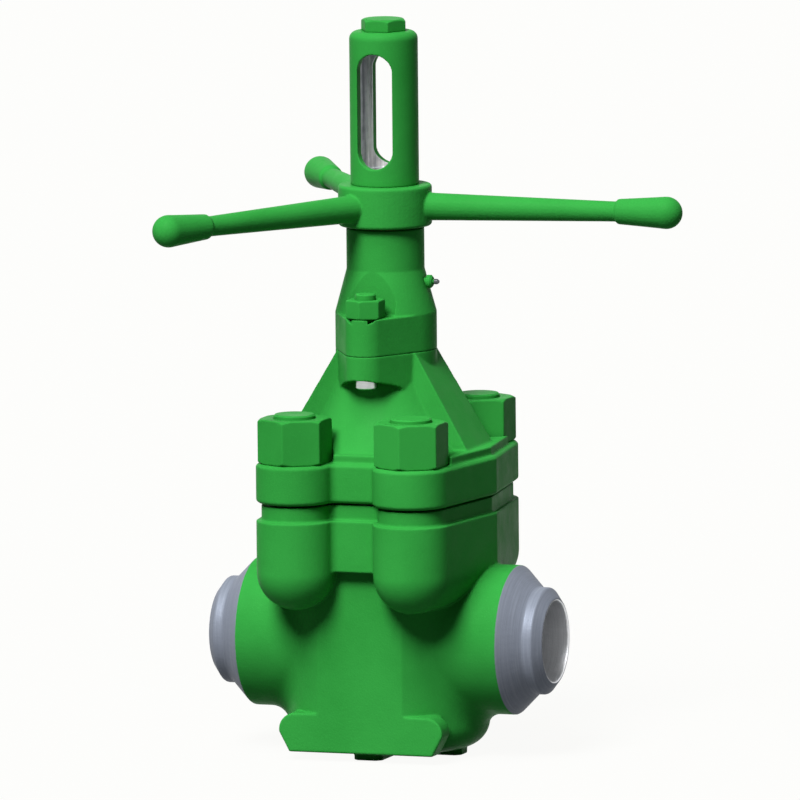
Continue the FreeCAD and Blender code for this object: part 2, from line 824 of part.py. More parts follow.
def bonnet_fasteners():
    top = flange_top + size.nut_height + size.stud_tip
    bottom = land_top - size.stud_depth + size.stud_bottom_gap
    for number, (side, face) in enumerate(QUADRANTS, start=1):
        at = (signed(size.stud_x, side), signed(size.stud_y, face))
        stud = turned_body(f"bonnet_stud_{number}", pin_corners(size.stud_radius, bottom, top, size.stud_chamfer))
        place(stud, (at[0], at[1], 0))
        hex_body(f"bonnet_nut_{number}", size.nut_across_flats, flange_top, flange_top + size.nut_height,
                 size.stud_radius + size.thread_clearance, size.nut_chamfer, at)


def housing_fasteners():
    bottom = neck_top - size.housing_stud_overhang
    top = housing_flange_top + size.housing_nut_height + size.housing_stud_tip
    for name, face in (("front", -1), ("back", 1)):
        at = (0, signed(size.collar_lobe_y, face))
        stud = turned_body(f"housing_stud_{name}",
                           pin_corners(size.housing_stud_radius, bottom, top, size.housing_stud_chamfer))
        place(stud, (0, at[1], 0))
        hex_body(f"housing_nut_{name}", size.housing_nut_across_flats, housing_flange_top,
                 housing_flange_top + size.housing_nut_height,
                 size.housing_stud_radius + size.thread_clearance, size.nut_chamfer / 2, at)


# Seats, gate and stem

def seats():
    """A steel wear ring in a rubber seat on each side of the gate."""
    outer = size.well_half_width - size.seat_clearance
    inner_face = size.well_half_length - size.seat_thickness
    for name, side in (("left", -1), ("right", 1)):
        start = inner_face if side > 0 else -size.well_half_length
        for label, low, high in ((f"seat_ring_{name}", size.bore_radius, size.seat_ring_radius),
                                 (f"seat_seal_{name}", size.seat_ring_radius, outer)):
            body = turned_body(label, sleeve_corners(low, high, 0, size.seat_thickness))
            place(body, (start, 0, flow), ALONG_X)


def gate():
    """A slab with a round lower edge and a tee slot across its top."""
    half = size.gate_half_thickness
    slab = join("gate_slab", [
        primitive("Cylinder", "gate_round", (-half, 0, flow), ALONG_X,
                  Radius=size.gate_radius, Height=2 * half),
        box("gate_plate", half, size.gate_radius, flow, gate_top),
    ])
    neck_bottom = gate_top - size.tee_neck_height
    slot_bottom = gate_top - size.tee_slot_depth
    body = cut("gate", slab, [
        box("tee_slot_neck", half + 1, size.tee_neck_width / 2, neck_bottom - 1, gate_top + 1),
        box("tee_slot_head", half + 1, size.tee_head_width / 2, slot_bottom, neck_bottom),
    ])
    body.Label = "gate"


def stem():
    """A round stem whose tee foot slides into the gate, narrowed where it stands between the seats."""
    half = size.gate_half_thickness
    slack = size.tee_clearance
    shank_bottom = flow + size.well_half_width + slack
    neck_bottom = gate_top - size.tee_neck_height
    slot_bottom = gate_top - size.tee_slot_depth
    body = join("stem", [
        turned("stem_shank", [
            (0, shank_bottom), (size.stem_radius, shank_bottom),
            (size.stem_radius, stem_top - size.stem_chamfer),
            (size.stem_radius - size.stem_chamfer, stem_top), (0, stem_top)]),
        box("stem_neck", half, size.tee_neck_width / 2 - slack, neck_bottom - slack - 1, shank_bottom),
        box("stem_foot", half, size.tee_head_width / 2 - slack, slot_bottom + slack, neck_bottom - slack),
    ])
    body.Label = "stem"


# Packing and bonnet seal

def packing():
    bottom = flow + size.packing_bottom_rise
    inner = size.stem_radius + size.running_clearance
    for number in (1, 2, 3):
        low = bottom + (number - 1) * size.packing_ring_height
        turned_body(f"packing_ring_{number}",
                    sleeve_corners(inner, size.packing_radius, low, low + size.packing_ring_height))
    low = bottom + 3 * size.packing_ring_height
    bore = size.stem_radius + size.gland_bore_clearance
    turned_body("packing_gland", [
        (bore, low), (size.packing_radius, low), (size.packing_radius, collar_top),
        (size.gland_collar_radius, collar_top),
        (size.gland_collar_radius, collar_top + size.gland_collar_height),
        (bore, collar_top + size.gland_collar_height)])


def bonnet_gasket():
    """An eight-sided metal ring held half in the body and half in the bonnet."""
    middle = land_top + size.joint_gap / 2
    half = size.gasket_height / 2
    inner = size.gasket_radius - size.gasket_width / 2
    outer = size.gasket_radius + size.gasket_width / 2
    bevel = size.gasket_width / 4
    turned_body("bonnet_gasket", [
        (inner, middle - half + bevel), (inner + bevel, middle - half), (outer - bevel, middle - half),
        (outer, middle - half + bevel), (outer, middle + half - bevel), (outer - bevel, middle + half),
        (inner + bevel, middle + half), (inner, middle + half - bevel)])


# Operator housing and lift nut

def operator_housing():
    flange = two_lobe_prism("housing_flange", collar_top, housing_flange_top)
    tower = turned("housing_tower", [
        (0, collar_top), (size.neck_radius, collar_top), (size.neck_radius, housing_flange_top),
        (size.housing_radius, cone_top), (size.housing_radius, housing_top - size.housing_edge),
        (size.housing_radius - size.housing_edge, housing_top), (0, housing_top)])
    casting = join("housing_casting", [flange, tower])
    tools = [
        cylinder("bearing_bore", size.bearing_bore_radius, collar_top - 1, shoulder),
        cylinder("nut_bore", size.nut_body_radius + size.running_clearance, shoulder - 1, housing_top + 1),
        seal_groove(),
        primitive("Cylinder", "grease_hole", (size.bearing_bore_radius - 2, 0, grease_axis),
                  ALONG_X, Radius=size.grease_thread_radius + size.thread_clearance,
                  Height=size.neck_radius - size.bearing_bore_radius + 4),
    ]
    arch_centre = cone_top - size.pocket_half_width
    depth = size.collar_lobe_radius * 2
    for name, face in (("front", -1), ("back", 1)):
        middle = signed(size.housing_radius + depth / 2, face)
        tools.append(box(f"{name}_pocket", size.pocket_half_width, depth / 2,
                         housing_flange_top, arch_centre, 0, middle))
        start = middle - depth / 2
        tools.append(primitive("Cylinder", f"{name}_pocket_arch", (0, start, arch_centre), ALONG_Y,
                               Radius=size.pocket_half_width, Height=depth))
        tools.append(cylinder(f"{name}_housing_hole", size.housing_stud_radius + size.thread_clearance,
                              collar_top - 1, housing_flange_top + 1, 0, signed(size.collar_lobe_y, face)))
    body = cut("operator_housing", casting, tools)
    body.Label = "operator_housing"


def seal_groove():
    middle = (shoulder + housing_top) / 2 + size.seal_height
    return turned("seal_groove", sleeve_corners(
        size.nut_body_radius, size.nut_body_radius + size.seal_width + size.running_clearance,
        middle, middle + size.seal_height))


def bearings():
    inner = size.nut_body_radius + size.bearing_inner_gap
    outer = size.bearing_bore_radius - size.running_clearance
    turned_body("lower_bearing_washer", sleeve_corners(inner, outer, retainer_top, lower_washer_top))
    turned_body("upper_bearing_washer", sleeve_corners(inner, outer, upper_washer_bottom, shoulder))
    for label, low in (("lower_roller_cage", lower_washer_top), ("upper_roller_cage", collar_high)):
        turned_body(label, sleeve_corners(size.nut_body_radius + size.running_clearance,
                                          size.nut_collar_radius, low, low + size.roller_cage_height))
    turned_body("bearing_retainer", sleeve_corners(inner, outer, retainer_top - size.retainer_height,
                                                   retainer_top))
    middle = (shoulder + housing_top) / 2 + size.seal_height
    turned_body("housing_seal", sleeve_corners(
        size.nut_body_radius + size.running_clearance, size.nut_body_radius + size.seal_width,
        middle, middle + size.seal_height))


def lift_nut():
    """The nut that the wheel turns: collar between the bearings, neck for the wheel, thread for the tube."""
    bore = size.stem_radius + size.running_clearance
    bottom = collar_low - size.nut_bottom_length
    tip = wheel_top + size.tube_thread_height
    nut = turned("lift_nut_turning", [
        (bore, bottom), (size.nut_body_radius, bottom), (size.nut_body_radius, collar_low),
        (size.nut_collar_radius, collar_low), (size.nut_collar_radius, collar_high),
        (size.nut_body_radius, collar_high), (size.nut_body_radius, wheel_bottom),
        (size.nut_neck_radius, wheel_bottom), (size.nut_neck_radius, wheel_top),
        (size.nut_thread_radius, wheel_top), (size.nut_thread_radius, tip), (bore, tip)])
    body = cut("lift_nut", nut, [key_block("nut_keyway", size.running_clearance)])
    body.Label = "lift_nut"
    drive_key = key_block("drive_key", 0)
    drive_key.Label = "drive_key"


def key_block(name, slack):
    """The key's own block, or with slack the keyway that takes it."""
    low = wheel_top - size.key_length
    half = size.key_height / 2 + slack
    return box(name, half, size.key_width / 2 + slack, low - slack, wheel_top,
               size.nut_neck_radius, 0)


# Handwheel

def handwheel():
    wheel = new_body("handwheel")
    bore = size.nut_neck_radius + size.running_clearance
    edge = size.wheel_hub_round
    profile = body_sketch(wheel, "XZ_Plane", "wheel_hub_profile")
    draw_polygon(profile, [
        (bore, wheel_bottom), (size.wheel_hub_radius - edge, wheel_bottom),
        (size.wheel_hub_radius, wheel_bottom + edge), (size.wheel_hub_radius, wheel_top - edge),
        (size.wheel_hub_radius - edge, wheel_top), (bore, wheel_top)])
    hub = wheel.newObject("PartDesign::Revolution", "wheel_hub")
    hub.Profile = profile
    hub.ReferenceAxis = (profile, ["V_Axis"])
    hub.Angle = 360
    arm_sketch = body_sketch(wheel, "XZ_Plane", "arm_profile")
    arm_height = wheel_bottom + size.wheel_hub_height / 2 - size.arm_drop
    bind(arm_sketch, "AttachmentOffset.Base.y", arm_height)
    draw_arm(arm_sketch)
    arm = wheel.newObject("PartDesign::Revolution", "wheel_arm")
    arm.Profile = arm_sketch
    arm.ReferenceAxis = (arm_sketch, ["H_Axis"])
    arm.Angle = 360
    arms = wheel.newObject("PartDesign::PolarPattern", "wheel_arms")
    arms.Originals = [arm]
    arms.Axis = (profile, ["V_Axis"])
    arms.Angle = 360
    arms.Occurrences = ARM_COUNT
    wheel.Tip = arms
    keyway = body_sketch(wheel, "XY_Plane", "wheel_keyway_section")
    half = size.key_width / 2 + size.running_clearance
    reach = size.nut_neck_radius + size.key_height / 2 + size.running_clearance
    draw_polygon(keyway, [(size.nut_neck_radius - 2, -half), (reach, -half), (reach, half),
                          (size.nut_neck_radius - 2, half)])
    keyway.AttachmentOffset = Placement(Vector(0, 0, 0), Rotation(Vector(0, 0, 1), -float(size.arm_angle)))
    bind(keyway, "AttachmentOffset.Base.z", wheel_top - size.key_length - size.running_clearance)
    slot = wheel.newObject("PartDesign::Pocket", "wheel_keyway")
    slot.Profile = keyway
    slot.Reversed = True
    bind(slot, "Length", size.key_length + 1)
    wheel.Tip = slot
    return wheel


def draw_arm(sketch):
    """Half an arm: a tapered bar, and a knob that swells to a round end."""
    root = size.wheel_hub_radius - size.arm_root_depth
    tip = size.knob_centre + size.knob_radius
    corners = [
        (root, 0), (root, size.arm_root_radius), (size.knob_start, size.arm_end_radius),
        (size.knob_start, size.knob_start_radius - size.knob_bevel),
        (size.knob_start + size.knob_bevel, size.knob_start_radius),
        (size.knob_centre, size.knob_radius)]
    points = [Vector(float(along), float(radius), 0) for along, radius in corners]
    for first, second in zip(points, points[1:]):
        sketch.addGeometry(Part.LineSegment(first, second), False)
    count = len(points) - 1
    centre = Vector(float(size.knob_centre), 0, 0)
    ball = Part.ArcOfCircle(Part.Circle(centre, Vector(0, 0, 1), float(size.knob_radius)), 0, math.pi / 2)
    sketch.addGeometry(ball, False)
    sketch.addGeometry(Part.LineSegment(Vector(float(tip), 0, 0), points[0]), False)
    for line in range(count - 1):
        sketch.addConstraint(Sketcher.Constraint("Coincident", line, 2, line + 1, 1))
    sketch.addConstraint(Sketcher.Constraint("Coincident", count - 1, 2, count, 2))
    sketch.addConstraint(Sketcher.Constraint("Coincident", count, 1, count + 1, 1))
    sketch.addConstraint(Sketcher.Constraint("Coincident", count + 1, 2, 0, 1))
    for line, (along, radius) in enumerate(corners[:-1]):
        tie_point(sketch, line, along, radius)
    sketch.addConstraint(Sketcher.Constraint("PointOnObject", count, 3, -1))
    sketch.addConstraint(Sketcher.Constraint("PointOnObject", count, 1, -1))
    middle = Sketcher.Constraint("DistanceX", -1, 1, count, 3, float(size.knob_centre))
    tie_value(sketch, middle, size.knob_centre)
    tie_value(sketch, Sketcher.Constraint("Radius", count, float(size.knob_radius)), size.knob_radius)
    sketch.addConstraint(Sketcher.Constraint("Vertical", count, 3, count, 2))


# Stem protector and cap

def stem_protector():
    tube = new_body("stem_protector")
    profile = body_sketch(tube, "XZ_Plane", "tube_profile")
    floor_top = wheel_top + size.tube_thread_height
    roof = tube_top - size.tube_roof
    thread = size.nut_thread_radius + size.thread_clearance
    cap_hole = size.cap_thread_radius + size.thread_clearance
    draw_polygon(profile, [
        (thread, wheel_top), (size.tube_radius, wheel_top), (size.tube_radius, tube_top),
        (cap_hole, tube_top), (cap_hole, roof), (size.tube_bore_radius, roof),
        (size.tube_bore_radius, floor_top), (thread, floor_top)])
    wall = tube.newObject("PartDesign::Revolution", "tube_wall")
    wall.Profile = profile
    wall.ReferenceAxis = (profile, ["V_Axis"])
    wall.Angle = 360
    window = body_sketch(tube, "XZ_Plane", "slot_outline")
    draw_slot(window, size.slot_width / 2, wheel_top + size.slot_bottom, size.slot_height)
    slot = tube.newObject("PartDesign::Pocket", "tube_slots")
    slot.Profile = window
    slot.Midplane = True
    slot.Type = "ThroughAll"
    doc.recompute()
    top_edges = [f"Edge{number}" for number, edge in enumerate(slot.Shape.Edges, start=1)
                 if at_height(tube_top)(edge) and edge.Length > 2 * math.pi * float(size.tube_radius) - 1]
    shoulder_round = tube.newObject("PartDesign::Fillet", "tube_shoulder")
    shoulder_round.Base = (slot, top_edges)
    bind(shoulder_round, "Radius", size.tube_round)
    tube.Tip = shoulder_round


def draw_slot(sketch, radius, bottom, height):
    """A slot with round ends, standing on its lowest point."""
    low = bottom + radius
    high = bottom + height - radius
    reach = float(radius)
    up = Vector(0, 0, 1)
    sketch.addGeometry(Part.LineSegment(Vector(reach, float(low), 0), Vector(reach, float(high), 0)), False)
    top_end = Part.Circle(Vector(0, float(high), 0), up, reach)
    sketch.addGeometry(Part.ArcOfCircle(top_end, 0, math.pi), False)
    sketch.addGeometry(Part.LineSegment(Vector(-reach, float(high), 0), Vector(-reach, float(low), 0)), False)
    low_end = Part.Circle(Vector(0, float(low), 0), up, reach)
    sketch.addGeometry(Part.ArcOfCircle(low_end, math.pi, 2 * math.pi), False)
    for first in range(4):
        sketch.addConstraint(Sketcher.Constraint("Tangent", first, 2, (first + 1) % 4, 1))
    for arc, value in ((1, high), (3, low)):
        sketch.addConstraint(Sketcher.Constraint("PointOnObject", arc, 3, -2))
        tie_value(sketch, Sketcher.Constraint("DistanceY", -1, 1, arc, 3, float(value)), value)
    tie_value(sketch, Sketcher.Constraint("Radius", 1, reach), radius)


def protector_cap():
    shank = cylinder("cap_shank", size.cap_thread_radius, tube_top - size.cap_thread_length, tube_top)
    head = hex_body("cap_head", size.cap_across_flats, tube_top, tube_top + size.cap_height,
                    None, size.nut_chamfer, (0, 0), False)
    cap = join("protector_cap", [shank, head])
    cap.Label = "protector_cap"


def grease_fitting():
    """A threaded nipple with a round-edged base, lying along X on the housing's cone."""
    cone_fall = (size.neck_radius - size.housing_radius) / (cone_top - housing_flange_top)
    low_corner = grease_axis - size.grease_base / 2
    seat = size.housing_radius + cone_fall * (cone_top - low_corner) + size.grease_seat_gap
    front = seat + size.grease_base_length
    edge = size.grease_base_edge
    nipple = size.grease_nipple_radius
    tip = front + size.grease_nipple_length
    ball_start = tip - 2 * nipple
    turning = turned("grease_turning", [
        (0, size.bearing_bore_radius + 1), (size.grease_thread_radius, size.bearing_bore_radius + 1),
        (size.grease_thread_radius, seat), (size.grease_base / 2, seat),
        (size.grease_base / 2, front - edge), (size.grease_base / 2 - edge, front),
        (size.grease_neck_radius, front), (size.grease_neck_radius, ball_start),
        (nipple, ball_start + 1), (nipple, tip - 2), (nipple * 0.5, tip), (0, tip)])
    place(turning, (0, 0, grease_axis), ALONG_X)
    turning.Label = "grease_fitting"
    return turning


def build():
    valve_body()
    seats()
    gate()
    bonnet_gasket()
    bonnet()
    bonnet_fasteners()
    packing()
    stem()
    operator_housing()
    housing_fasteners()
    bearings()
    lift_nut()
    wheel = handwheel()
    wheel.Placement = Placement(Vector(0, 0, 0), Rotation(Vector(0, 0, 1), float(size.arm_angle)))
    stem_protector()
    protector_cap()
    grease_fitting()


NODES = [
    "valve_body", "seat_ring_left", "seat_ring_right", "seat_seal_left", "seat_seal_right", "gate",
    "bonnet_gasket", "bonnet", "packing_ring_1", "packing_ring_2", "packing_ring_3", "packing_gland",
    "stem", "operator_housing", "housing_stud_front", "housing_stud_back", "housing_nut_front",
    "housing_nut_back", "lower_bearing_washer", "upper_bearing_washer", "lower_roller_cage",
    "upper_roller_cage", "bearing_retainer", "housing_seal", "lift_nut", "drive_key", "handwheel",
    "stem_protector", "protector_cap", "grease_fitting",
]
for stud_number in range(1, len(QUADRANTS) + 1):
    NODES += [f"bonnet_stud_{stud_number}", f"bonnet_nut_{stud_number}"]

build()
doc.recompute()
for thing in doc.Objects:
    if "Invalid" in thing.State or "Error" in thing.State:
        raise RuntimeError(f"{thing.Label} did not build: {thing.State}")
by_label = {thing.Label: thing for thing in doc.Objects}
os.makedirs("parts", exist_ok=True)
for node in NODES:
    shape = by_label[node].Shape
    if shape.isNull() or not shape.isValid():
        raise RuntimeError(f"{node} has no valid shape")
for node in NODES:
    shape = by_label[node].Shape
    shape.exportStep(f"parts/{node}.step")
    print(f"{node}: {len(shape.Solids)} solid, {shape.Volume / 1000:.1f} cm3")
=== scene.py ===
import json
import math

import bmesh
import bpy
from mathutils import Matrix, Vector

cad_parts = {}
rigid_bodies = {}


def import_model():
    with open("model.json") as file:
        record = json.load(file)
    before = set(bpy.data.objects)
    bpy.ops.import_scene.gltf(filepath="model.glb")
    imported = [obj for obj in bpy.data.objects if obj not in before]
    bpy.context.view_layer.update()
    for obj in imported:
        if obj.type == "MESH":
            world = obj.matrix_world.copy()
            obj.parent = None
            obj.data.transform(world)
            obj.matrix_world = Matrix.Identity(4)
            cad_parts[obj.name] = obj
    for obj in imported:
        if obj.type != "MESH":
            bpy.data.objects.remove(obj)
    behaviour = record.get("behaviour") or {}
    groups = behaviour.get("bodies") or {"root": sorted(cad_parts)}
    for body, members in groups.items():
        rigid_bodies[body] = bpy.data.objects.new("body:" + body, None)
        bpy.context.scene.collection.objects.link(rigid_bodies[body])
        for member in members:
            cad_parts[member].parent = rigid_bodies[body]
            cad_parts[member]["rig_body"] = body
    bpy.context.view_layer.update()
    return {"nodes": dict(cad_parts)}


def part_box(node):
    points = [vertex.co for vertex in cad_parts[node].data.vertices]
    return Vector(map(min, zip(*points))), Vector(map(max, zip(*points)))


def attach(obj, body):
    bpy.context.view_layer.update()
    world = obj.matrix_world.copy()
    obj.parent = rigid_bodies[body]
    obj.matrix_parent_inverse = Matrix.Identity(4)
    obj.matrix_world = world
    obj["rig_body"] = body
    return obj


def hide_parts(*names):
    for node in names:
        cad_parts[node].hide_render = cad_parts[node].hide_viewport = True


# The looks of a rising-stem mud gate valve, in metres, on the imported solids' own frame.

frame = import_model()
nodes = frame["nodes"]


# Sizes of the solids that the looks follow

FLOW_HEIGHT = 0.1249
HUB_REACH = 0.146
BORE_RADIUS = 0.04365
COLLAR_UNDERSIDE = FLOW_HEIGHT + 0.288
NIPPLE_START = 0.0545
TUBE_INSIDE = 0.0270
TUBE_TOP = FLOW_HEIGHT + 0.648
TUBE_ROUND = 0.0085

STEM_RADIUS = 0.014
STEM_TOP = FLOW_HEIGHT + 0.500
STEM_CHAMFER = 0.002
THREAD_BOTTOM = FLOW_HEIGHT + 0.300
THREAD_LEAD = 0.008
THREAD_DEPTH = 0.0032
THREAD_FLANK = 0.13
THREAD_STEP = 0.0005
THREAD_SIDES = 72
THREAD_RUN_IN = 0.001
FOOT_TOP = FLOW_HEIGHT + 0.0623
FOOT_DEPTH = 0.0254
FOOT_EDGE = 0.0008
TEE_WIDTH = 0.0434
TEE_HEIGHT = 0.0134
NECK_WIDTH = 0.0284

# Width of the line where paint gives way to bare metal

PAINT_EDGE = 0.0004
BORE_EDGE = 0.0006
INNER_EDGE = 0.001

# Grid of the rounded skins, finer on small pieces

VOXEL = 0.0013
FINE = 0.0009
WELD = 0.000002

# Colours, and the tones that a grain runs through from dark to light

PAINT = (0.031, 0.303, 0.048)
PAINT_DEEP = (0.015, 0.205, 0.026)
PAINT_LIGHT = (0.040, 0.370, 0.060)
PAINT_TONES = [(0.30, PAINT_DEEP), (0.52, PAINT), (0.78, PAINT_LIGHT)]
CONE_TONES = [(0.30, (0.182, 0.203, 0.250)), (0.52, (0.215, 0.239, 0.293)), (0.80, (0.270, 0.296, 0.352))]
WALL_TONES = [(0.36, (0.16, 0.17, 0.19)), (0.50, (0.52, 0.54, 0.58)), (0.62, (0.90, 0.91, 0.93))]
# Steel lightened past its own tone: painted light in the bore, and a painted highlight on the yoke stud's
# thread
LIGHTENED_STEEL_TONES = [(0.30, (0.66, 0.67, 0.69)), (0.52, (0.78, 0.79, 0.81)), (0.80, (0.88, 0.89, 0.90))]
NIPPLE_TONES = [(0.3, (0.05, 0.055, 0.06)), (0.7, (0.16, 0.17, 0.18))]
STEEL_TONES = [(0.3, (0.185, 0.200, 0.225)), (0.7, (0.420, 0.430, 0.450))]
GROUND_TONES = [(0.3, (0.36, 0.37, 0.38)), (0.7, (0.55, 0.56, 0.58))]
POLISHED_TONES = [(0.3, (0.42, 0.43, 0.44)), (0.7, (0.62, 0.63, 0.65))]
BRONZE_TONES = [(0.3, (0.36, 0.19, 0.065)), (0.7, (0.55, 0.33, 0.12))]
RUBBER_TONES = [(0.3, (0.010, 0.010, 0.011)), (0.7, (0.022, 0.022, 0.023))]
GRAPHITE_TONES = [(0.3, (0.030, 0.030, 0.033)), (0.7, (0.065, 0.065, 0.070))]

# Grain, as noise scales along x, y and z: a large number packs it into fine rings or lines

TURNED_ACROSS = (900.0, 14.0, 14.0)
BORED_ACROSS = (700.0, 20.0, 20.0)
GROUND_ACROSS = (900.0, 60.0, 60.0)
TURNED_UPRIGHT = (14.0, 14.0, 900.0)
THREADED_UPRIGHT = (14.0, 14.0, 1400.0)
POLISHED_UPRIGHT = (20.0, 20.0, 1100.0)
DRAWN_UPRIGHT = (90.0, 90.0, 4.0)

PAINT_SHINE = 0.01
DRIFT_SHARE = 0.35
# Painted glints: how far the light flecks lift the enamel towards its lightest tone
PAINTED_GLINT_SHARE = 0.35
# Painted shade in corners: how far it darkens the enamel, and how far the corner test reaches
CREVICE_SHADE_SHARE = 0.55
CREVICE_SHADE_WIDTH = 0.012
CONE_METALLIC = 0.15
BARE_METALLIC = 0.9
GRAIN_DEPTH = 0.00002
GRIT_DEPTH = 0.00008

# Floor, backdrop and camera

FLOOR_REACH = 150.0
FLOOR_COLOUR = (0.13, 0.13, 0.128, 1.0)
GLOW_COLOUR = (1.0, 1.0, 0.985, 1.0)
GLOW_STRENGTH = 1.21
GLOW_SHARE = 0.78
SKY_COLOUR = (0.985, 0.99, 0.98, 1.0)
SKY_FILL = 0.045
LAMP_DISTANCE = 3.0

CAMERA_AZIMUTH = 19.36
CAMERA_ELEVATION = 7.34
CAMERA_ROLL = 0.542
CAMERA_DISTANCE = 25.0
CAMERA_SENSOR = 36.0
VIEW_WIDTH = 0.851
AIM_HEIGHT = FLOW_HEIGHT + 0.300
AIM_RIGHT = 0.0144
AIM_DOWN = 0.0474


# Materials

MIX_FACTOR, MIX_LOW, MIX_HIGH, MIX_RESULT = 0, 6, 7, 2


class Graph:
    """A material's nodes, added and wired by name."""

    def __init__(self, name):
        self.material = bpy.data.materials.new(name)
        self.material.use_nodes = True
        tree = self.material.node_tree
        self.nodes = tree.nodes
        self.links = tree.links
        self.shader = self.nodes["Principled BSDF"]
        self.position = self.nodes.new("ShaderNodeTexCoord").outputs["Object"]

    def wire(self, source, socket):
        self.links.new(source, socket)

    def feed(self, value, socket):
        """Set an input to a colour or a number, or wire it to another node's output."""
        if isinstance(value, tuple):
            socket.default_value = (*value, 1.0)
        elif isinstance(value, (int, float)):
            socket.default_value = value
        else:
            self.wire(value, socket)

    def noise(self, scale, detail=3.0, roughness=0.5, vector=None):
        node = self.nodes.new("ShaderNodeTexNoise")
        node.inputs["Scale"].default_value = scale
        node.inputs["Detail"].default_value = detail
        node.inputs["Roughness"].default_value = roughness
        self.wire(vector or self.position, node.inputs["Vector"])
        return node.outputs["Fac"]

    def grain(self, scales):
        """Noise stretched into rings or lines by its own scale along each axis."""
        node = self.nodes.new("ShaderNodeMapping")
        node.inputs["Scale"].default_value = scales
        self.wire(self.position, node.inputs["Vector"])
        return self.noise(1.0, roughness=0.7, vector=node.outputs["Vector"])

    def cells(self, scale):
        node = self.nodes.new("ShaderNodeTexVoronoi")
        node.inputs["Scale"].default_value = scale
        self.wire(self.position, node.inputs["Vector"])
        return node.outputs["Distance"]

    def ramp(self, source, tones):
        node = self.nodes.new("ShaderNodeValToRGB")
        elements = node.color_ramp.elements
        while len(elements) < len(tones):
            elements.new(0.5)
        for element, (place, colour) in zip(elements, tones):
            element.position = place
            element.color = (*colour, 1.0)
        self.wire(source, node.inputs["Fac"])
        return node.outputs["Color"]

    def spread(self, source, low, high, from_low, from_high):
        """The source's range stretched to run from low to high."""
        node = self.nodes.new("ShaderNodeMapRange")
        node.inputs["From Min"].default_value = from_low
        node.inputs["From Max"].default_value = from_high
        node.inputs["To Min"].default_value = low
        node.inputs["To Max"].default_value = high
        self.wire(source, node.inputs["Value"])
        return node.outputs["Result"]

    def past(self, source, place, width):
        """Nothing up to a place along the source, and one from a width beyond it."""
        return self.spread(source, 0.0, 1.0, place, place + width)

    def short_of(self, source, place, width):
        """One up to a place along the source, and nothing from a width beyond it."""
        return self.spread(source, 1.0, 0.0, place, place + width)

    def math(self, operation, *values):
        node = self.nodes.new("ShaderNodeMath")
        node.operation = operation
        for value, socket in zip(values, node.inputs):
            self.feed(value, socket)
        return node.outputs["Value"]

    def blend(self, first, second, share):
        """A number between the first and the second."""
        rest = self.math("SUBTRACT", 1.0, share)
        return self.math("ADD", self.math("MULTIPLY", first, rest), self.math("MULTIPLY", second, share))

    def mix(self, amount, low, high):
        """A colour between low and high."""
        node = self.nodes.new("ShaderNodeMix")
        node.data_type = "RGBA"
        for value, place in ((amount, MIX_FACTOR), (low, MIX_LOW), (high, MIX_HIGH)):
            self.feed(value, node.inputs[place])
        return node.outputs[MIX_RESULT]

    def axes(self):
        node = self.nodes.new("ShaderNodeSeparateXYZ")
        self.wire(self.position, node.inputs["Vector"])
        return node.outputs["X"], node.outputs["Y"], node.outputs["Z"]

    def radius(self, first, second):
        """The distance from an axis, from the two coordinates across it."""
        squares = [self.math("MULTIPLY", side, side) for side in (first, second)]
        return self.math("SQRT", self.math("ADD", *squares))

    def crevice(self, distance):
        """Bright in the open and dark in a corner."""
        node = self.nodes.new("ShaderNodeAmbientOcclusion")
        node.samples = 6
        node.inputs["Distance"].default_value = distance
        return node.outputs["AO"]

    def bump(self, height, distance, under=None):
        node = self.nodes.new("ShaderNodeBump")
        node.inputs["Distance"].default_value = distance
        self.wire(height, node.inputs["Height"])
        if under is not None:
            self.wire(under, node.inputs["Normal"])
        return node.outputs["Normal"]


def paint_colour(graph):
    """Enamel whose tone drifts a little, with painted shade darkening it in corners and creases, and
    painted glints lifting it in fine light flecks.
    """
    drift = graph.ramp(graph.noise(9.0, detail=4.0, roughness=0.6), PAINT_TONES)
    # Painted glints: fine light flecks spread evenly over the enamel, standing in for the sparkle of its
    # highlights
    painted_glint = graph.spread(graph.noise(800.0, detail=1.0), 0.0, PAINTED_GLINT_SHARE, from_low=0.58, from_high=0.72)
    colour = graph.mix(painted_glint, graph.mix(DRIFT_SHARE, PAINT, drift), PAINT_LIGHT)
    # Painted shade: the colour darkens towards the deep green wherever ambient occlusion finds a corner or
    # crease
    painted_shade = graph.spread(graph.crevice(CREVICE_SHADE_WIDTH), 1.0, 0.0, from_low=0.25, from_high=0.85)
    return graph.mix(graph.math("MULTIPLY", painted_shade, CREVICE_SHADE_SHARE), colour, PAINT_DEEP)


def cast_bump(graph, depth):
    """Sand-cast skin under paint: fine grit on slow waves."""
    waves = graph.bump(graph.noise(110.0, roughness=0.55), depth * 1.6)
    sand = graph.noise(620.0, detail=2.0, roughness=0.65)
    grit = graph.math("ADD", sand, graph.math("MULTIPLY", graph.cells(430.0), 0.6))
    return graph.bump(grit, depth, under=waves)


def painted(name, depth, roughness):
    graph = Graph(name)
    shader = graph.shader
    graph.wire(paint_colour(graph), shader.inputs["Base Color"])
    patch = graph.noise(45.0, roughness=0.6)
    dull = graph.spread(patch, roughness - 0.06, roughness + 0.08, from_low=0.3, from_high=0.7)
    graph.wire(dull, shader.inputs["Roughness"])
    graph.wire(cast_bump(graph, depth), shader.inputs["Normal"])
    shader.inputs["Specular IOR Level"].default_value = PAINT_SHINE
    return graph


def blend_to_steel(graph, amount, steel_colour, roughness, metallic):
    """Change paint to bare metal where the amount is one."""
    shader = graph.shader
    paint = shader.inputs["Base Color"].links[0].from_socket
    paint_roughness = shader.inputs["Roughness"].links[0].from_socket
    graph.wire(graph.mix(amount, paint, steel_colour), shader.inputs["Base Color"])
    graph.wire(graph.blend(paint_roughness, roughness, amount), shader.inputs["Roughness"])
    graph.wire(metallic, shader.inputs["Metallic"])


def turned_steel(graph, scales, tones):
    """Machined metal: fine rings or lines over a faint mottle."""
    mottle = graph.noise(70.0, detail=4.0, roughness=0.6)
    return graph.ramp(graph.blend(graph.grain(scales), mottle, 0.2), tones)


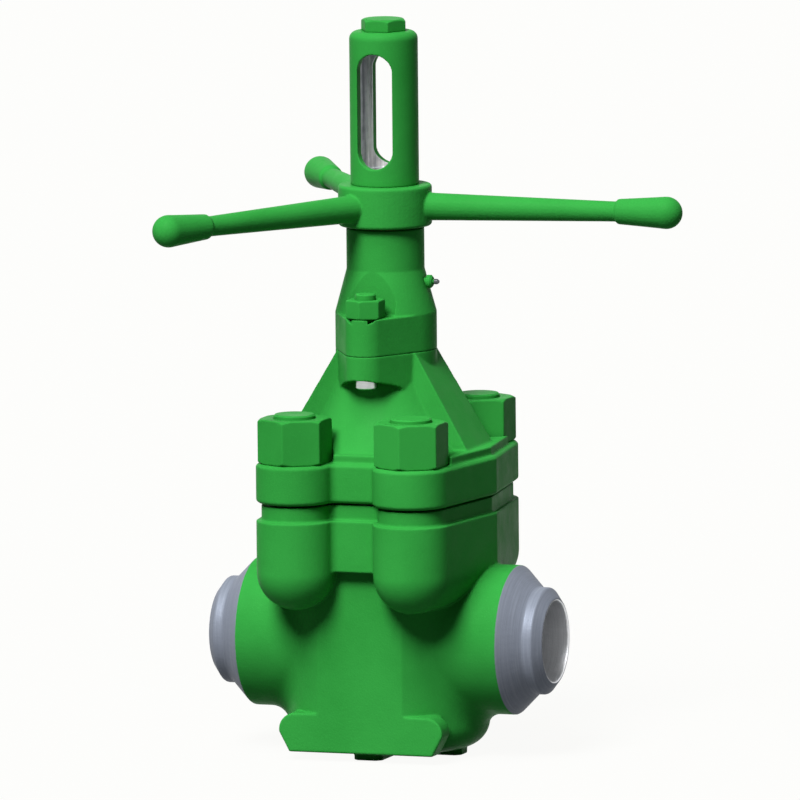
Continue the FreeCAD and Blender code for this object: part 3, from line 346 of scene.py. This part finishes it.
def body_paint():
    """Paint that stops at the weld ends, turned steel beyond it, and a bore in steel lightened as painted
    light inside it.
    """
    graph = painted("paint_body_casting", depth=0.00011, roughness=0.38)
    x, y, z = graph.axes()
    wander = graph.spread(graph.noise(240.0, detail=2.0), -PAINT_EDGE, PAINT_EDGE, 0.0, 1.0)
    reach = graph.math("ADD", graph.math("ABSOLUTE", x), wander)
    ends = graph.past(reach, HUB_REACH - PAINT_EDGE, 2 * PAINT_EDGE)
    height = graph.math("SUBTRACT", z, FLOW_HEIGHT)
    bore = graph.short_of(graph.radius(y, height), BORE_RADIUS + BORE_EDGE, BORE_EDGE)
    cone_steel = turned_steel(graph, TURNED_ACROSS, CONE_TONES)
    # Painted light: the bore's steel is lightened well past its own tone to stand in for light reaching
    # inside the bore
    painted_light_bore_steel = turned_steel(graph, BORED_ACROSS, LIGHTENED_STEEL_TONES)
    bare = graph.math("MAXIMUM", ends, bore)
    metallic = graph.math("ADD", graph.math("MULTIPLY", ends, CONE_METALLIC), bore)
    blend_to_steel(graph, bare, graph.mix(bore, cone_steel, painted_light_bore_steel), 0.42, metallic)
    return graph.material


def tube_paint():
    """Paint outside, and bare drawn steel on the tube's inner wall."""
    graph = painted("paint_protector", depth=0.00006, roughness=0.36)
    x, y, z = graph.axes()
    inside = graph.short_of(graph.radius(x, y), TUBE_INSIDE + PAINT_EDGE, PAINT_EDGE)
    below = graph.short_of(z, TUBE_TOP - TUBE_ROUND - 3 * INNER_EDGE, INNER_EDGE)
    bare = graph.math("MULTIPLY", inside, below)
    wall_steel = turned_steel(graph, DRAWN_UPRIGHT, WALL_TONES)
    blend_to_steel(graph, bare, wall_steel, 0.42, graph.math("MULTIPLY", bare, 0.5))
    return graph.material


def stud_paint():
    """Paint above the collar, and the stud's bare thread below it, in steel lightened as a painted
    highlight in the collar's shade.
    """
    graph = painted("paint_yoke_stud", depth=0.00003, roughness=0.36)
    z = graph.axes()[2]
    bare = graph.short_of(z, COLLAR_UNDERSIDE, INNER_EDGE)
    # Partly real bare thread, partly painted highlight: the steel is lightened past its own tone where the
    # collar shades it
    thread_steel = turned_steel(graph, THREADED_UPRIGHT, LIGHTENED_STEEL_TONES)
    blend_to_steel(graph, bare, thread_steel, 0.3, graph.math("MULTIPLY", bare, 0.7))
    return graph.material


def fitting_paint():
    """A painted base, and a dark steel nipple beyond it."""
    graph = painted("paint_grease_fitting", depth=0.00003, roughness=0.36)
    x = graph.axes()[0]
    bare = graph.past(x, NIPPLE_START, PAINT_EDGE)
    nipple_steel = turned_steel(graph, TURNED_ACROSS, NIPPLE_TONES)
    blend_to_steel(graph, bare, nipple_steel, 0.3, graph.math("MULTIPLY", bare, 0.5))
    return graph.material


def metal(name, tones, roughness, scales):
    """A bare metal with a turned or ground grain."""
    graph = Graph(name)
    shader = graph.shader
    grain = graph.grain(scales)
    graph.wire(graph.ramp(graph.blend(grain, graph.noise(60.0), 0.4), tones), shader.inputs["Base Color"])
    dull = graph.spread(grain, roughness - 0.07, roughness + 0.1, from_low=0.3, from_high=0.7)
    graph.wire(dull, shader.inputs["Roughness"])
    graph.wire(graph.bump(grain, GRAIN_DEPTH), shader.inputs["Normal"])
    shader.inputs["Metallic"].default_value = BARE_METALLIC
    return graph.material


def soft_black(name, tones, roughness):
    """Rubber or packed graphite: dark and a little gritty."""
    graph = Graph(name)
    shader = graph.shader
    mottle = graph.noise(160.0, detail=5.0, roughness=0.6)
    graph.wire(graph.ramp(mottle, tones), shader.inputs["Base Color"])
    dull = graph.spread(mottle, roughness - 0.1, roughness + 0.1, from_low=0.3, from_high=0.7)
    graph.wire(dull, shader.inputs["Roughness"])
    graph.wire(graph.bump(graph.noise(700.0), GRIT_DEPTH), shader.inputs["Normal"])
    return graph.material


casting = painted("paint_casting", depth=0.00012, roughness=0.42).material
smooth_paint = painted("paint_machined", depth=0.00005, roughness=0.36).material
wheel_paint = painted("paint_wheel", depth=0.00016, roughness=0.38).material
body_material = body_paint()
tube_material = tube_paint()
stud_material = stud_paint()
fitting_material = fitting_paint()
steel = metal("steel_turned", STEEL_TONES, 0.34, TURNED_UPRIGHT)
hard_steel = metal("steel_ground", GROUND_TONES, 0.24, GROUND_ACROSS)
stem_steel = metal("steel_polished", POLISHED_TONES, 0.2, POLISHED_UPRIGHT)
bronze = metal("bronze", BRONZE_TONES, 0.3, TURNED_UPRIGHT)
rubber = soft_black("seat_rubber", RUBBER_TONES, 0.55)
graphite = soft_black("packing_graphite", GRAPHITE_TONES, 0.42)


# Pieces

def dress(thing, material):
    thing.data.materials.clear()
    thing.data.materials.append(material)


def placed(name, mesh):
    """A new object in the scene."""
    thing = bpy.data.objects.new(name, mesh)
    bpy.context.scene.collection.objects.link(thing)
    return thing


def evaluated(thing):
    """The thing's mesh with its modifiers applied."""
    graph = bpy.context.evaluated_depsgraph_get()
    return bpy.data.meshes.new_from_object(thing.evaluated_get(graph), depsgraph=graph)


def softened(node, voxel, passes, keep, material):
    """A copy of a solid with its edges and corners rounded as a casting's are, standing for that solid."""
    mesh = nodes[node].data.copy()
    welded = bmesh.new()
    welded.from_mesh(mesh)
    bmesh.ops.remove_doubles(welded, verts=welded.verts, dist=WELD)
    welded.to_mesh(mesh)
    welded.free()
    piece = placed(f"{node}_skin", mesh)
    remesh = piece.modifiers.new("even_grid", "REMESH")
    remesh.mode = "VOXEL"
    remesh.voxel_size = voxel
    relax = piece.modifiers.new("rounding", "SMOOTH")
    relax.factor = 0.5
    relax.iterations = passes
    thin = piece.modifiers.new("fewer_faces", "DECIMATE")
    thin.ratio = keep
    thin.use_collapse_triangulate = True
    piece.data = evaluated(piece)
    piece.modifiers.clear()
    piece.data.shade_smooth()
    dress(piece, material)
    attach(piece, nodes[node]["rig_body"])
    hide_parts(node)
    return piece


def lathe_grid(name, rows, steps, spot):
    """A closed round skin through rows of rings, each point placed by its row and angle."""
    mesh = bpy.data.meshes.new(name)
    points = [spot(row, 2 * math.pi * step / steps) for row in rows for step in range(steps)]
    faces = []
    for low in range(len(rows) - 1):
        for step in range(steps):
            near = low * steps + step
            far = low * steps + (step + 1) % steps
            faces.append((near, far, far + steps, near + steps))
    faces.append(tuple(reversed(range(steps))))
    faces.append(tuple(range(len(points) - steps, len(points))))
    mesh.from_pydata(points, [], faces)
    mesh.update()
    return placed(name, mesh)


def thread_radius(height, angle):
    """A left-hand trapezoidal thread, cut into the bar and run out at both of its ends."""
    turn = (height / THREAD_LEAD + angle / (2 * math.pi)) % 1.0
    if turn < 0.5 - THREAD_FLANK:
        cut = 0.0
    elif turn < 0.5:
        cut = (turn - 0.5 + THREAD_FLANK) / THREAD_FLANK
    elif turn < 1.0 - THREAD_FLANK:
        cut = 1.0
    else:
        cut = (1.0 - turn) / THREAD_FLANK
    fade = min(1.0, max(0.0, (height - THREAD_BOTTOM) / THREAD_LEAD))
    chamfer = max(0.0, height - (STEM_TOP - STEM_CHAMFER))
    return min(STEM_RADIUS - THREAD_DEPTH * cut * fade, STEM_RADIUS - chamfer)


def stem_bar():
    """The stem's threaded upper length and plain lower length, as one bar."""
    rows = [FOOT_TOP, THREAD_BOTTOM - THREAD_RUN_IN]
    height = THREAD_BOTTOM
    while height < STEM_TOP:
        rows.append(height)
        height += THREAD_STEP
    rows.append(STEM_TOP)

    def spot(row, angle):
        radius = thread_radius(row, angle) if row >= THREAD_BOTTOM else STEM_RADIUS
        return (radius * math.cos(angle), radius * math.sin(angle), row)

    bar = lathe_grid("stem_bar", rows, THREAD_SIDES, spot)
    bar.data.shade_smooth()
    bar.data.set_sharp_from_angle(angle=math.radians(35))
    return bar


def stem_foot():
    """The tee that the gate hangs from, and the flat neck above it."""
    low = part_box("stem")[0].z
    foot = placed("stem_foot", bpy.data.meshes.new("stem_foot"))
    shape = bmesh.new()
    tee_top = low + TEE_HEIGHT
    for width, bottom, top in ((TEE_WIDTH, low, tee_top), (NECK_WIDTH, tee_top, FOOT_TOP)):
        for point in bmesh.ops.create_cube(shape, size=1.0)["verts"]:
            height = bottom + (point.co.z + 0.5) * (top - bottom)
            point.co = Vector((point.co.x * FOOT_DEPTH, point.co.y * width, height))
    shape.to_mesh(foot.data)
    shape.free()
    bevel = foot.modifiers.new("edge", "BEVEL")
    bevel.width = FOOT_EDGE
    bevel.segments = 2
    return foot


def threaded_stem():
    """The bar and its foot, standing for the stem's solid."""
    bar = stem_bar()
    foot = stem_foot()
    for piece in (bar, foot):
        dress(piece, stem_steel)
        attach(piece, "stem")
    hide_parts("stem")


softened("valve_body", VOXEL, passes=2, keep=0.25, material=body_material)
softened("bonnet", VOXEL, passes=2, keep=0.30, material=casting)
softened("operator_housing", FINE, passes=2, keep=0.35, material=casting)
softened("handwheel", FINE * 1.3, passes=3, keep=0.35, material=wheel_paint)
softened("stem_protector", FINE, passes=2, keep=0.35, material=tube_material)
softened("protector_cap", FINE * 0.8, passes=2, keep=0.35, material=smooth_paint)
for name in sorted(nodes):
    if "nut_" in name and name != "lift_nut":
        softened(name, FINE, passes=2, keep=0.35, material=smooth_paint)

PLAIN = {
    "seat_ring_left": hard_steel,
    "seat_ring_right": hard_steel,
    "gate": hard_steel,
    "seat_seal_left": rubber,
    "seat_seal_right": rubber,
    "housing_seal": rubber,
    "bonnet_gasket": steel,
    "packing_gland": steel,
    "drive_key": steel,
    "bearing_retainer": steel,
    "lower_bearing_washer": hard_steel,
    "upper_bearing_washer": hard_steel,
    "lower_roller_cage": hard_steel,
    "upper_roller_cage": hard_steel,
    "lift_nut": bronze,
    "grease_fitting": fitting_material,
    "housing_stud_front": stud_material,
    "housing_stud_back": stud_material,
}
for name, thing in nodes.items():
    if name in PLAIN:
        dress(thing, PLAIN[name])
    elif name.startswith("packing_ring"):
        dress(thing, graphite)
    elif name.startswith("bonnet_stud"):
        dress(thing, smooth_paint)
threaded_stem()


# Floor, light and camera

def seen_directly(tree):
    """One for camera, mirror and glass rays, and nothing for the light that falls on the valve."""
    path = tree.nodes.new("ShaderNodeLightPath")
    either = path.outputs["Is Camera Ray"]
    for other in ("Is Glossy Ray", "Is Transmission Ray"):
        join = tree.nodes.new("ShaderNodeMath")
        join.operation = "MAXIMUM"
        tree.links.new(either, join.inputs[0])
        tree.links.new(path.outputs[other], join.inputs[1])
        either = join.outputs["Value"]
    return either


def make_floor():
    """A pale plane that takes the valve's shadow and meets the backdrop out of sight."""
    corners = [(-FLOOR_REACH, -FLOOR_REACH, 0), (FLOOR_REACH, -FLOOR_REACH, 0),
               (FLOOR_REACH, FLOOR_REACH, 0), (-FLOOR_REACH, FLOOR_REACH, 0)]
    mesh = bpy.data.meshes.new("floor")
    mesh.from_pydata(corners, [], [(0, 1, 2, 3)])
    floor = placed("floor", mesh)
    material = bpy.data.materials.new("floor_pale")
    material.use_nodes = True
    tree = material.node_tree
    shader = tree.nodes["Principled BSDF"]
    shader.inputs["Base Color"].default_value = FLOOR_COLOUR
    shader.inputs["Roughness"].default_value = 0.9
    shader.inputs["Specular IOR Level"].default_value = 0.0
    glow = tree.nodes.new("ShaderNodeEmission")
    glow.inputs["Color"].default_value = GLOW_COLOUR
    glow.inputs["Strength"].default_value = GLOW_STRENGTH
    share = tree.nodes.new("ShaderNodeMath")
    share.operation = "MULTIPLY"
    share.inputs[1].default_value = GLOW_SHARE
    tree.links.new(seen_directly(tree), share.inputs[0])
    mix = tree.nodes.new("ShaderNodeMixShader")
    tree.links.new(share.outputs["Value"], mix.inputs[0])
    tree.links.new(shader.outputs["BSDF"], mix.inputs[1])
    tree.links.new(glow.outputs["Emission"], mix.inputs[2])
    tree.links.new(mix.outputs["Shader"], tree.nodes["Material Output"].inputs["Surface"])
    mesh.materials.append(material)


def make_world():
    """A near-white backdrop to look at, and a faint even fill for the light."""
    world = bpy.data.worlds.new("studio")
    bpy.context.scene.world = world
    world.use_nodes = True
    tree = world.node_tree
    background = tree.nodes["Background"]
    background.inputs["Color"].default_value = SKY_COLOUR
    amount = tree.nodes.new("ShaderNodeMapRange")
    amount.inputs["To Min"].default_value = SKY_FILL
    amount.inputs["To Max"].default_value = 1.0
    tree.links.new(seen_directly(tree), amount.inputs["Value"])
    tree.links.new(amount.outputs["Result"], background.inputs["Strength"])


def sun(name, azimuth, elevation, strength, softness):
    """A far soft lamp. Azimuth zero shines from the front, and elevation is above the horizon."""
    lamp = bpy.data.lights.new(name, "SUN")
    lamp.energy = strength
    lamp.angle = math.radians(softness)
    around = math.radians(azimuth)
    up = math.radians(elevation)
    towards = Vector((math.sin(around) * math.cos(up), -math.cos(around) * math.cos(up), math.sin(up)))
    thing = placed(name, lamp)
    thing.rotation_mode = "QUATERNION"
    thing.rotation_quaternion = towards.to_track_quat("Z", "Y")
    thing.location = towards * LAMP_DISTANCE


def make_camera():
    """The photograph's viewpoint, from far off with a long lens."""
    azimuth = math.radians(CAMERA_AZIMUTH)
    elevation = math.radians(CAMERA_ELEVATION)
    roll = math.radians(CAMERA_ROLL)
    right = Vector((math.cos(azimuth), math.sin(azimuth), 0))
    back = Vector((math.sin(azimuth) * math.cos(elevation),
                   -math.cos(azimuth) * math.cos(elevation),
                   math.sin(elevation)))
    up = back.cross(right)
    across = math.cos(roll) * right - math.sin(roll) * up
    upward = math.sin(roll) * right + math.cos(roll) * up
    target = Vector((0, 0, AIM_HEIGHT)) + AIM_RIGHT * across - AIM_DOWN * upward
    spot = target + back * CAMERA_DISTANCE
    lens = bpy.data.cameras.new("camera")
    lens.sensor_width = CAMERA_SENSOR
    lens.lens = CAMERA_SENSOR * CAMERA_DISTANCE / VIEW_WIDTH
    lens.clip_start = 1.0
    lens.clip_end = 400.0
    camera = placed("camera", lens)
    camera.matrix_world = Matrix((
        (across.x, upward.x, back.x, spot.x),
        (across.y, upward.y, back.y, spot.y),
        (across.z, upward.z, back.z, spot.z),
        (0, 0, 0, 1)))
    bpy.context.scene.camera = camera


make_floor()
make_world()
sun("key_lamp", azimuth=-7, elevation=47, strength=3.85, softness=22)
sun("top_lamp", azimuth=-14, elevation=68, strength=1.5, softness=26)
make_camera()
bpy.context.scene.view_settings.view_transform = "Standard"
